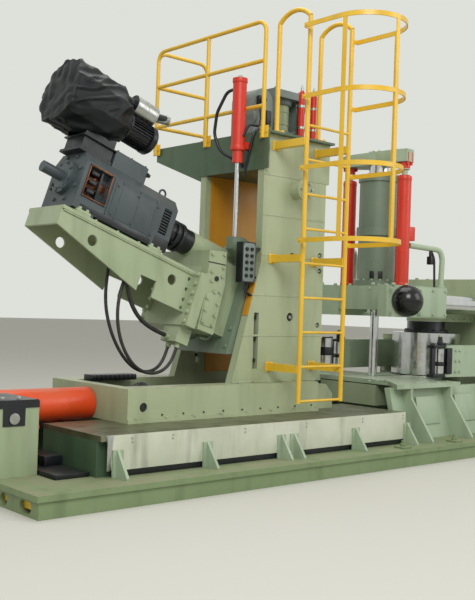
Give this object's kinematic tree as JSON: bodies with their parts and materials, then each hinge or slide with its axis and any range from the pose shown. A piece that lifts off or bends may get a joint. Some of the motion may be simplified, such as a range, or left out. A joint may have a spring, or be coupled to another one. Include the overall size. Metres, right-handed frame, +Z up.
{
  "type": "radial-axial ring rolling machine",
  "caption": "Radial-axial ring rolling machine: main roll and mandrel on a radial frame, cone rolls on a sliding stand with ladder and walkway, all on one foundation frame.",
  "frame": {"origin": "on the floor, on the foundation's underside, below the main roll's axis", "axes": "+X along the machine from the axial stand's feed end to the main roll's end, +Y to the far side, +Z up"},
  "size_m": [8.6, 2.8698, 4.0404],
  "materials": {
    "machine_green": "satin",
    "deep_green": "satin",
    "way_steel": "worn",
    "guard_steel": "satin",
    "cylinder_orange": "satin",
    "lift_red": "satin",
    "safety_yellow": "gloss",
    "guide_yellow": "satin",
    "chrome_steel": "polished",
    "roll_steel": "ground",
    "motor_grey": "satin",
    "fan_black": "satin",
    "cover_black": "matte",
    "hose_black": "matte",
    "box_black": "satin",
    "tank_grey": "satin"
  },
  "bodies": {
    "root": {"foundation_side_beams": "machine_green", "foundation_cross_beams": "machine_green", "bed_beams": "deep_green", "bed_ways": "way_steel", "way_guards": "guard_steel", "bed_gussets": "deep_green", "trunnion_blocks": "machine_green", "trunnion_bearings": "box_black", "feed_cylinder": "cylinder_orange", "rolling_table": "machine_green", "radial_base_walls": "machine_green", "radial_housing": "machine_green", "roll_arms": "machine_green", "arm_lugs": "machine_green", "radial_cylinder": "machine_green", "main_drive": "motor_grey"},
    "axial_stand": {"axial_carriage": "machine_green", "feed_rod": "chrome_steel", "lower_cone": "roll_steel", "stand_plate_near": "machine_green", "stand_plate_far": "machine_green", "guide_liners": "guide_yellow", "stand_top_beam": "deep_green", "stand_top_deck": "deep_green", "press_cylinder": "tank_grey", "oil_tank": "tank_grey", "balance_cylinder": "lift_red", "ladder": "safety_yellow", "ladder_cage": "safety_yellow", "handrails": "safety_yellow", "tracer_arm": "machine_green", "valve_box": "box_black", "accumulators": "lift_red"},
    "tracer_roller_body": {"tracer_roller": "chrome_steel"},
    "slide": {"upper_slide": "deep_green", "cone_housing": "machine_green", "motor_bracket": "machine_green", "upper_cone": "roll_steel", "motor": "motor_grey", "loop_hose": "hose_black", "drop_hose": "hose_black", "braided_hose": "hose_black", "blower": "fan_black", "blower_cover": "cover_black", "slide_rods": "chrome_steel"},
    "mandrel_carriage": {"mandrel_head": "machine_green", "pull_rods": "chrome_steel", "lower_mandrel_block": "machine_green", "lift_housing": "machine_green", "lift_cylinders": "lift_red", "rear_crosshead": "machine_green"},
    "mandrel_lift": {"lift_yoke": "machine_green", "mandrel_spindle": "chrome_steel"},
    "mandrel_body": {"mandrel": "roll_steel"},
    "main_roll_body": {"main_roll": "chrome_steel"},
    "centring_arm_near_body": {"centring_arm_near": "machine_green"},
    "centring_arm_far_body": {"centring_arm_far": "machine_green"},
    "centring_roller_near_body": {"centring_roller_near": "chrome_steel"},
    "centring_roller_far_body": {"centring_roller_far": "chrome_steel"}
  },
  "joints": [
    {"name": "stand_travel", "type": "slide", "parent": "root", "child": "axial_stand", "axis": [1, 0, 0], "range_m": [0, 0.45]},
    {"name": "slide_travel", "type": "slide", "parent": "axial_stand", "child": "slide", "axis": [0, 0, 1], "range_m": [-0.45, 0]},
    {"name": "tracer_spin", "type": "hinge", "parent": "axial_stand", "child": "tracer_roller_body", "pos_m": [-1.685, 0, 0.84], "axis": [0, 0, 1], "continuous": true},
    {"name": "mandrel_feed", "type": "slide", "parent": "root", "child": "mandrel_carriage", "axis": [1, 0, 0], "range_m": [0, 0.45]},
    {"name": "mandrel_lifting", "type": "slide", "parent": "mandrel_carriage", "child": "mandrel_lift", "axis": [0, 0, 1], "range_m": [0, 0.7]},
    {"name": "mandrel_spin", "type": "hinge", "parent": "mandrel_lift", "child": "mandrel_body", "pos_m": [-0.927, 0, 1], "axis": [0, 0, 1], "continuous": true},
    {"name": "main_roll_spin", "type": "hinge", "parent": "root", "child": "main_roll_body", "pos_m": [0, 0, 0.9], "axis": [0, 0, 1], "continuous": true},
    {"name": "centring_arm_near_swing", "type": "hinge", "parent": "root", "child": "centring_arm_near_body", "pos_m": [0.33, -0.78, 0.9], "axis": [0, 0, 1], "range_deg": [-10, 25]},
    {"name": "centring_arm_far_swing", "type": "hinge", "parent": "root", "child": "centring_arm_far_body", "pos_m": [0.33, 0.78, 0.9], "axis": [0, 0, -1], "range_deg": [-10, 25]},
    {"name": "centring_roller_near_spin", "type": "hinge", "parent": "centring_arm_near_body", "child": "centring_roller_near_body", "pos_m": [-0.705, -0.7, 0.9], "axis": [0, 0, 1], "continuous": true},
    {"name": "centring_roller_far_spin", "type": "hinge", "parent": "centring_arm_far_body", "child": "centring_roller_far_body", "pos_m": [-0.705, 0.7, 0.9], "axis": [0, 0, 1], "continuous": true}
  ],
  "couplings": [
    {"joint": "centring_arm_far_swing", "follows": "centring_arm_near_swing", "ratio": 1}
  ]
}
